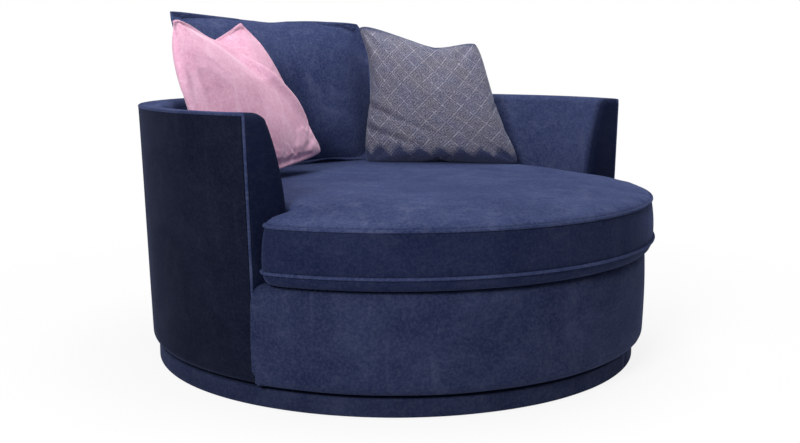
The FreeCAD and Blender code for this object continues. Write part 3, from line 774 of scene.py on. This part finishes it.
def makeEdgeWelt():
    radius = tub["welt"]
    high = tub["rimHeight"] - radius
    plane = tub["armFront"] + radius
    rim = shellRadius(high) - radius
    low = tub["bodyFoot"] + 0.004
    endTurn = math.asin(plane / rim)
    points = []
    for z in np.linspace(low, high - 0.012, 26):
        r = shellRadius(z) - radius
        points.append((math.sqrt(r * r - plane * plane), plane, z))
    for turn in np.linspace(endTurn, math.pi - endTurn, 200):
        points.append((rim * math.cos(turn), max(rim * math.sin(turn), plane + 0.001), high))
    points += [(-x, y, z) for x, y, z in reversed(points[:26])]
    obj = cordAlong("edgeCord", points, radius + 0.0004, False)
    dressed(obj, "navy_welt")
    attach(obj, "tub")
    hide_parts("edge_welt")
    return obj


# the padded panel below the seat
front = {
    "radius": 0.660,
    "top": 0.286,
    "roll": 0.025,
    "wrap": 0.606,
    "boardRadius": 0.6437,     # the padding ends at the bent board
    "hemTop": 0.0560,          # below this it reaches in as the hem does
    "hemRadius": 0.600,
    "baseTop": 0.0744,         # below this it reaches in to the base board
    "baseRadius": 0.6286,
    "endGap": 0.001,
    "endEdge": 0.014,
    "belly": 0.0022,
}


# how deep a point lies in the front panel
def frontDepth(points):
    radius = np.hypot(points[:, 0], points[:, 1])
    height = points[:, 2]
    roll = front["roll"]
    middle = front["radius"] - roll
    high = front["top"] - roll
    corner = (height > high) & (radius > middle)
    rolled = roll - np.hypot(radius - middle, height - high)
    return np.where(corner, rolled, np.where(height > high, front["top"] - height, front["radius"] - radius))


def makeFrontPanel():
    foot = tub["bodyFoot"]
    roll = front["roll"]
    high = front["top"]
    turns = [math.radians(t) for t in (0, 11, 22, 34, 46, 58, 70, 80, 90)]
    lowRoll = [foot + roll - roll * math.cos(t) for t in turns]
    highRoll = [high - roll + roll * math.sin(t) for t in turns]
    steps = [front[name] + step for name in ("hemTop", "baseTop") for step in (-0.0003, 0.0002)]
    levels = sorted(lowRoll + steps + highRoll + list(np.linspace(0.09, 0.25, 12)))

    def outer(z):
        if z < foot + roll:
            return front["radius"] - roll + math.sqrt(max(0, roll ** 2 - (foot + roll - z) ** 2))
        if z > high - roll:
            return front["radius"] - roll + math.sqrt(max(0, roll ** 2 - (z - high + roll) ** 2))
        share = (z - foot - roll) / (high - foot - 2 * roll)
        return front["radius"] + front["belly"] * math.sin(math.pi * share)

    def inner(z):
        if z < front["hemTop"]:
            return front["hemRadius"]
        if z < front["baseTop"]:
            return front["baseRadius"]
        return front["boardRadius"] if z < high - roll else front["wrap"]

    shares = (0, 0.2, 0.4, 0.6, 0.8, 1)
    obj = sweptWall("frontPanel", levels, inner, outer, shares, tub["armFront"] - front["endGap"], False)
    roundEnd(obj, tub["armFront"] - front["endGap"], False, front["endEdge"], frontDepth)
    uneven(obj, 0.28, 0.0030)
    smooth(obj, 50)
    dressed(obj, "navy_velvet")
    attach(obj, "tub")
    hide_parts("front_cover", "front_foam")
    return obj


# Seat cushion

def makeSeat():
    count = seat["points"]
    rings = []
    middle = seat["underside"]
    bottom = seatOutline(middle)
    heart = seat["heart"]
    for share in (0.02, 0.3, 0.6, 0.85):
        rings.append([(x * share, heart + (y - heart) * share, middle) for x, y in bottom])
    lowLevels = [middle + (seat["bottomSeam"] - middle) * t for t in (0.0, 0.12, 0.3, 0.55, 0.8)]
    for level in lowLevels:
        rings.append([(x, y, level) for x, y in seatOutline(level)])
    seamRings = [len(rings)]
    boxing = np.linspace(seat["bottomSeam"], seat["topSeam"], 25)
    turn = np.arange(count) / count * math.tau
    gather = np.sin(turn * 61 + 2.1 * np.sin(turn * 7))
    gather *= 0.55 + 0.45 * np.sin(turn * 13 + 1.0 + np.sin(turn * 4))
    slack = np.sin(turn * 9 + 1.7 * np.sin(turn * 3)) * np.sin(turn * 5 + 0.6)
    for level in boxing:
        share = (level - seat["bottomSeam"]) / (seat["topSeam"] - seat["bottomSeam"])
        bulge = seat["boxingBulge"] * math.sin(math.pi * share) ** 0.8 if 0 < share < 1 else 0
        plain = seatOutline(level)
        near = min(level - seat["bottomSeam"], seat["topSeam"] - level)
        pucker = seat["pucker"] * math.exp(-near / 0.012) * gather * (1 if 0 < share < 1 else 0)
        pucker += seat["slack"] * math.sin(math.pi * share) * slack
        full = seatOutline(level, bulge)
        reach = 1 + pucker / np.hypot(full[:, 0], full[:, 1])
        full = full * reach[:, None]
        ahead = plain[:, 1] < seat["shoulder"] - 0.003
        rings.append([(*(full[i] if ahead[i] else plain[i]), level) for i in range(count)])
    seamRings.append(len(rings) - 1)
    inward = [0.003, 0.007, 0.012, 0.019, 0.027, 0.036, 0.047]
    inward = np.concatenate([inward, np.arange(0.06, 0.97, 0.0165), [0.98]])
    for share in 1 - inward:
        x = seatRim[:, 0] * share
        y = heart + (seatRim[:, 1] - heart) * share
        gap = (1 - share) * np.hypot(seatRim[:, 0], seatRim[:, 1] - heart)
        ahead = np.clip((seat["puckerFrom"] - y) / 0.05, 0, 1)
        pucker = seat["topPucker"] * gather * np.exp(-gap / 0.022) * (1 - np.exp(-gap / 0.004)) * ahead
        z = seatTop(x, y) + pucker
        rings.append(list(zip(x, y, z)))
    obj = ringed("seatPad", rings, True)
    closeUp(obj)
    smooth(obj)
    dressed(obj, "navy_velvet", velvets["seat"])
    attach(obj, "seat")
    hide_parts("seat_cover", "seat_foam_core")
    for name, node, level in (("seatCordLow", "seat_bottom_welt", seat["bottomSeam"]),
                              ("seatCordHigh", "seat_top_welt", seat["topSeam"])):
        line = seatOutline(level, 0.0022)
        cord = cordAlong(name, [(x, y, level) for x, y in line], seat["welt"], True)
        dressed(cord, "navy_welt", velvets["cord"])
        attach(cord, "seat")
        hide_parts(node)
    return obj


# Loose cushions

# Place: angle round the chair and setBack from the wall. Facing and twist are in degrees.
# Form: widths at base and top, height, thickness, how far it leans back and rolls sideways.
# Seams: dip in the top, pull of the left and right edges, thinness towards top and bottom, round ears.
backCushion = {
    "name": "backCushionPad", "setBack": 0.116, "angle": 99.0, "facing": 2.5, "twist": 5.0,
    "baseWidth": 0.640, "topWidth": 0.700, "height": 0.445, "thickness": 0.176,
    "lean": 0.058, "roll": -0.022, "lift": 0.0, "slope": -0.010, "sink": 0.014, "bow": 0.040,
    "dip": 0.006, "dipAt": 0.1, "dipWidth": 1.0, "dipSharp": 1.6, "leftPull": 0.022, "rightPull": -0.026,
    "cells": 90,
    "topThin": 0.60, "lowThin": 0.45, "earRound": 0.035,
    "cloth": {"pressure": 4.0, "stretch": 12.0, "bend": 0.6, "slack": 0.01, "frames": 20, "cap": 0.018},
}
pinkPillow = {
    "name": "pinkPillowPad", "setBack": 0.233, "angle": 152.5, "facing": 22.5, "twist": 12.0,
    "baseWidth": 0.465, "topWidth": 0.386, "height": 0.424, "thickness": 0.152,
    "lean": 0.103, "roll": -0.125, "lift": 0.028, "slope": 0.0065, "sink": 0.012, "bow": 0.0,
    "dip": 0.062, "dipAt": 0.25, "dipWidth": 1.15, "dipSharp": 1.1, "leftPull": -0.022, "rightPull": -0.030,
    "cells": 90,
    "topThin": 0.95, "lowThin": 0.40, "earRound": 0.030,
    "cloth": {"pressure": 2.5, "stretch": 12.0, "bend": 0.6, "slack": 0.0, "frames": 16, "cap": 0.007},
}
greyPillow = {
    "name": "greyPillowPad", "setBack": 0.166, "angle": 29.8, "facing": -45.0, "twist": 0.0,
    "baseWidth": 0.474, "topWidth": 0.374, "height": 0.400, "thickness": 0.142,
    "lean": 0.058, "roll": -0.085, "lift": 0.0, "slope": -0.024, "sink": 0.012, "bow": 0.0,
    "dip": 0.026, "dipAt": 0.3, "dipWidth": 1.2, "dipSharp": 1.2, "leftPull": 0.026, "rightPull": 0.002,
    "cells": 90,
    "topThin": 0.85, "lowThin": 0.42, "earRound": 0.050,
    "cloth": {"pressure": 2.5, "stretch": 12.0, "bend": 0.4, "slack": 0.02, "frames": 18, "cap": 0.012},
}


# directions, place and lean of a cushion
def cushionFrame(size):
    turn = math.radians(size["facing"])
    topTurn = turn + math.radians(size["twist"])
    wide = np.array([math.cos(turn), math.sin(turn), 0])
    topWide = np.array([math.cos(topTurn), math.sin(topTurn), 0])
    back = np.array([-math.sin(turn), math.cos(turn), 0])
    place = math.radians(size["angle"])
    distance = tub["innerRadius"] - size["setBack"]
    base = np.array([distance * math.cos(place), distance * math.sin(place), seat["top"] - size["sink"]])
    rise = np.array([0, 0, size["height"]]) + back * size["lean"] + wide * size["roll"]
    normal = np.cross(wide + topWide, rise)
    normal /= np.linalg.norm(normal)
    return wide, topWide, back, base, rise, normal


# u runs -1 to 1 across and v 0 to 1 up the cushion
def cushionSheet(size, u, v):
    wide, topWide, back, base, rise, normal = cushionFrame(size)
    up = np.array([0, 0, 1.0])
    bow = -size["bow"] * u ** 2 * np.where(u < 0, 1 - v, 1)
    low = base + wide * (u * size["baseWidth"] / 2)[:, None] + back * bow[:, None]
    low = low + up * (size["lift"] * (1 + u))[:, None]
    far = np.clip(1 - np.abs(u - size["dipAt"]) / size["dipWidth"], 0, 1) ** size["dipSharp"]
    drop = size["slope"] * u - size["dip"] * far * (1 - np.abs(u) ** 6)
    high = base + rise + topWide * (u * size["topWidth"] / 2)[:, None] + back * bow[:, None]
    high = high + up * drop[:, None]
    point = low * (1 - v)[:, None] + high * v[:, None]
    pull = np.where(u < 0, size["leftPull"], -size["rightPull"]) * np.abs(u) ** 3 * 6.75 * v * v * (1 - v)
    return point + wide * pull[:, None], normal


# share of the full thickness, thin at the seams and thinner where the top is chopped in
def fullness(size, u, v):
    t = 2 * v - 1
    power = np.where(v > 0.5, size["topThin"] + (0.55 - size["topThin"]) * (1 - v) * 2,
                     size["lowThin"] + (0.55 - size["lowThin"]) * v * 2)
    notch = np.exp(-((u - size["dipAt"]) / 0.35) ** 2) * np.clip((v - 0.65) / 0.35, 0, 1)
    notch = notch * size["dip"] / 0.062
    body = ((1 - np.abs(u) ** 2.6) ** 0.55) * ((1 - np.abs(t) ** 2.6) ** power)
    return body * (1 - 0.45 * notch)


# wrinkles that run in from the seams and out of the four corners
def gathers(u, v, strength):
    t = 2 * v - 1
    waves = np.sin(27 * v + 3 * np.sin(5 * v)) * np.exp(-(1 - np.abs(u)) / 0.10)
    waves += np.sin(25 * u + 3 * np.sin(4 * u + 1)) * np.exp(-(1 - np.abs(t)) / 0.10)
    for cornerU, cornerT, phase in ((-1, -1, 0.4), (1, -1, 1.9), (-1, 1, 2.7), (1, 1, 0.9)):
        reach = np.hypot(u - cornerU, t - cornerT)
        turn = np.arctan2(np.abs(u - cornerU), np.abs(t - cornerT))
        waves += 1.5 * np.sin(turn * 11 + phase) * np.exp(-((reach - 0.35) / 0.28) ** 2)
    return strength * waves


# nothing at the seams and all of it a little way in
def seamless(u, v):
    return np.clip((1 - np.abs(u)) / 0.07, 0, 1) * np.clip((1 - np.abs(2 * v - 1)) / 0.07, 0, 1)


# a soft step from 0 to 1
def stepUp(value, low, high):
    share = np.clip((value - low) / (high - low), 0, 1)
    return share * share * (3 - 2 * share)


# Each of the next three gives how far both sides bend back, and how far the front folds in or out.

# the crisp fold that falls from the chopped top of the pink pillow towards its lower right
def chopFold(u, v):
    start, end = np.array((0.22, 1.02)), np.array((1.04, 0.16))
    line = end - start
    length = np.linalg.norm(line)
    along = ((u - start[0]) * line[0] + (v - start[1]) * line[1]) / length ** 2
    side = ((v - start[1]) * line[0] - (u - start[0]) * line[1]) / length
    fade = 1 - stepUp(along, 0.60, 1.0)
    ridge = 0.013 * np.exp(-((side + 0.05) / 0.08) ** 2)
    setBack = -0.034 * stepUp(side, -0.010, 0.035) * np.exp(-np.maximum(side, 0) / 0.30) * fade
    pocket = -0.022 * np.exp(-((along - 0.50) / 0.13) ** 2 - ((side - 0.055) / 0.05) ** 2)
    tuck = -0.005 * np.exp(-((v - 0.20 - 0.25 * (u - 0.8)) / 0.022) ** 2 - ((u - 0.82) / 0.16) ** 2)
    low = -0.004 * np.exp(-((v - 0.13 - 0.2 * (u - 0.7)) / 0.030) ** 2 - ((u - 0.62) / 0.20) ** 2)
    return setBack, (ridge + pocket) * fade + tuck + low + gathers(u, v, 0.0004)


# two pinches that run in from the left edge of the grey pillow
def edgePinches(u, v):
    fold = np.zeros_like(u)
    for height, slant, depth in ((0.44, -0.20, 0.028), (0.27, -0.16, 0.024)):
        off = v - height - slant * (u + 1)
        reach = np.exp(-(u + 1) / 0.30)
        fold += (-depth * np.exp(-(off / 0.020) ** 2) + 0.008 * np.exp(-((off - 0.050) / 0.03) ** 2)) * reach
    dip = -0.008 * np.exp(-((v - 0.80) / 0.10) ** 2 - ((u - 0.35 + 0.8 * (1 - v)) / 0.10) ** 2)
    return np.zeros_like(u), fold + dip + gathers(u, v, 0.0015)


# where someone leant on the back cushion
def backDents(u, v):
    lean = -0.006 * np.exp(-((u + 0.35) / 0.30) ** 2 - ((v - 0.35) / 0.30) ** 2)
    return np.zeros_like(u), lean + gathers(u, v, 0.0006)


# keeps soft points off the seat and the tub wall
def rested(points, gap=0.0008):
    floor = seatTop(points[:, 0], points[:, 1]) + gap
    points[:, 2] = np.maximum(points[:, 2], floor)
    radius = np.hypot(points[:, 0], points[:, 1])
    limit = insideRadius(points[:, 2]) - gap
    low = points[:, 2] < tub["rimHeight"]
    over = low & (radius > limit)
    lifted = over & (tub["rimHeight"] + gap - points[:, 2] < radius - limit)
    points[lifted, 2] = tub["rimHeight"] + gap
    inward = over & ~lifted
    points[inward, 0] *= limit[inward] / radius[inward]
    points[inward, 1] *= limit[inward] / radius[inward]
    return points


# fills a sewn form with air so that its cloth puckers and pulls in by itself
def puffed(obj, cloth):
    before = coords(obj)
    pick(obj)
    sewn = obj.modifiers.new("cloth", "CLOTH")
    rules = sewn.settings
    rules.quality = 6
    rules.mass = 0.35
    rules.use_pressure = True
    rules.uniform_pressure_force = cloth["pressure"]
    rules.tension_stiffness = cloth["stretch"]
    rules.compression_stiffness = cloth["stretch"]
    rules.shear_stiffness = cloth["stretch"] / 3
    rules.bending_stiffness = cloth["bend"]
    rules.shrink_min = -cloth["slack"]
    rules.air_damping = 2.0
    rules.effector_weights.gravity = 0.0
    sewn.collision_settings.use_collision = False
    sewn.point_cache.frame_start = 1
    sewn.point_cache.frame_end = cloth["frames"]
    scene = bpy.context.scene
    for number in range(1, cloth["frames"] + 1):
        scene.frame_set(number)
    bpy.ops.object.modifier_apply(modifier="cloth")
    scene.frame_set(1)
    moved = coords(obj) - before
    length = np.linalg.norm(moved, axis=1)
    moved *= (np.minimum(length, cloth["cap"]) / np.maximum(length, 1e-9))[:, None]
    setCoords(obj, before + moved)
    print(obj.name, "cloth moved", round(float(length.mean()) * 1000, 1), "mm on average")


def makeCushion(size, node, slot, folds):
    cells = size["cells"]
    clearPick()
    bpy.ops.mesh.primitive_grid_add(x_subdivisions=cells, y_subdivisions=cells, size=2, location=(0, 0, 0))
    obj = bpy.context.object
    obj.name = size["name"]
    plan = coords(obj)
    u, v = plan[:, 0], (plan[:, 1] + 1) / 2
    tight = np.sin(u * math.pi / 2) * 0.35 + u * 0.65
    tall = (np.sin((2 * v - 1) * math.pi / 2) * 0.35 + (2 * v - 1) * 0.65 + 1) / 2
    layer = obj.data.uv_layers.active or obj.data.uv_layers.new(name="fabric")
    for corner in obj.data.loops:
        layer.data[corner.index].uv = ((tight[corner.vertex_index] + 1) / 2, tall[corner.vertex_index])
    corner = 1 - size["earRound"] * (np.abs(tight) * np.abs(2 * tall - 1)) ** 7
    sheet, normal = cushionSheet(size, tight * corner, ((2 * tall - 1) * corner + 1) / 2)
    half = size["thickness"] / 2 * fullness(size, tight, tall)
    frontSide = sheet + normal * half[:, None]
    rearSide = sheet - normal * half[:, None]
    setCoords(obj, frontSide)
    pick(obj)
    bpy.ops.object.mode_set(mode="EDIT")
    bpy.ops.mesh.select_all(action="SELECT")
    bpy.ops.mesh.duplicate()
    bpy.ops.mesh.flip_normals()
    bpy.ops.object.mode_set(mode="OBJECT")
    setCoords(obj, np.vstack([frontSide, rearSide]))
    closeUp(obj)
    tree = kdtree.KDTree(len(frontSide) * 2)
    for index, point in enumerate(np.vstack([frontSide, rearSide])):
        tree.insert(point, index)
    tree.balance()
    sewnFrom = np.array([tree.find(point)[1] for point in coords(obj)])
    puffed(obj, size["cloth"])
    bend, fold = folds(tight, tall)
    behind = gathers(-tight, tall, 0.0008)
    inner = seamless(tight, tall)
    wrinkle = np.concatenate([bend + fold * inner, bend - behind * inner])
    setCoords(obj, rested(coords(obj) + normal * wrinkle[sewnFrom][:, None]))
    applied(obj, "SUBSURF", levels=1, render_levels=1)
    setCoords(obj, rested(coords(obj)))
    smooth(obj)
    dressed(obj, slot, velvets["back"] if slot == "navy_velvet" else None)
    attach(obj, node)
    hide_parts(node + "_cover", node + "_filling", node + "_zip")
    return obj


makePlinth()
makeOutside()
makeInside()
makeEdgeWelt()
makeFrontPanel()
print("tub done")
makeSeat()
print("seat done")
makeCushion(backCushion, "back_cushion", "navy_velvet", backDents)
makeCushion(pinkPillow, "pink_pillow", "pink_velvet", chopFold)
makeCushion(greyPillow, "grey_pillow", "grey_jacquard", edgePinches)
print("cushions done")


# Floor, camera and light

clearPick()
bpy.ops.mesh.primitive_plane_add(size=60, location=(0, 0, 0))
floor = bpy.context.object
floor.name = "floor"

cameraData = bpy.data.cameras.new("camera")
camera = bpy.data.objects.new("camera", cameraData)
bpy.context.scene.collection.objects.link(camera)
camera.location = (-1.7416, -2.1455, 0.7716)
camera.rotation_euler = (math.radians(80.929), 0, math.radians(-39.3))
cameraData.lens = 46.40
cameraData.sensor_width = 36
bpy.context.scene.camera = camera

# everything that the camera, gloss or glass sees past the chair is plain white
def seenDirectly(paint):
    made = paint.tree.nodes.new("ShaderNodeLightPath")
    names = ("Is Camera Ray", "Is Glossy Ray", "Is Transmission Ray")
    seen = [Wire(paint, made.outputs[name]) for name in names]
    return paint.sum("MAXIMUM", paint.sum("MAXIMUM", seen[0], seen[1]), seen[2])


studio = {"around": 0.29, "floorGlow": 0.86, "whiteFrom": 0.9, "whiteAt": 2.0}

world = bpy.data.worlds.new("studio")
bpy.context.scene.world = world
world.use_nodes = True
world.node_tree.nodes.clear()
sky = Paint("floorPaper")
sky.tree = world.node_tree
direct = seenDirectly(sky)
plain = sky.node("ShaderNodeBackground", None, {"Color": (0.93, 0.95, 1, 1), "Strength": studio["around"]})
white = sky.node("ShaderNodeBackground", None, {"Color": (1, 1, 1, 1), "Strength": 1.0})
mixed = sky.node("ShaderNodeMixShader", None, {0: direct, 1: plain, 2: white})
sky.node("ShaderNodeOutputWorld", None, {"Surface": mixed})

paper = Paint("paper")
matt = paper.node("ShaderNodeBsdfDiffuse", None, {"Color": (0.93, 0.93, 0.94, 1)})
glow = paper.node("ShaderNodeEmission", None, {"Color": (1, 1, 1, 1), "Strength": 1.0})
away = paper.node("ShaderNodeVectorMath", {"operation": "LENGTH"}, {0: paper.here()}, 1)
faded = paper.between(away, studio["whiteFrom"], studio["whiteAt"])
bright = studio["floorGlow"] + faded * (1 - studio["floorGlow"])
share = seenDirectly(paper) * bright
paper.node("ShaderNodeOutputMaterial", None, {
    "Surface": paper.node("ShaderNodeMixShader", None, {0: share, 1: matt, 2: glow})})
floor.data.materials.append(paper.material)


def softLight(name, place, aim, size, watts, tint=(1, 1, 1)):
    data = bpy.data.lights.new(name, "AREA")
    data.shape = "RECTANGLE"
    data.size, data.size_y = size
    data.energy = watts
    data.color = tint
    lamp = bpy.data.objects.new(name, data)
    bpy.context.scene.collection.objects.link(lamp)
    lamp.location = place
    lamp.rotation_euler = (Vector(aim) - Vector(place)).to_track_quat("-Z", "Y").to_euler()


softLight("key", (-3.3, -1.9, 2.4), (0, 0, 0.4), (1.3, 1.1), 135)
softLight("overhead", (0.4, 0.1, 3.0), (0, 0, 0.3), (2.0, 2.0), 58)
bpy.context.scene.view_settings.view_transform = "Standard"
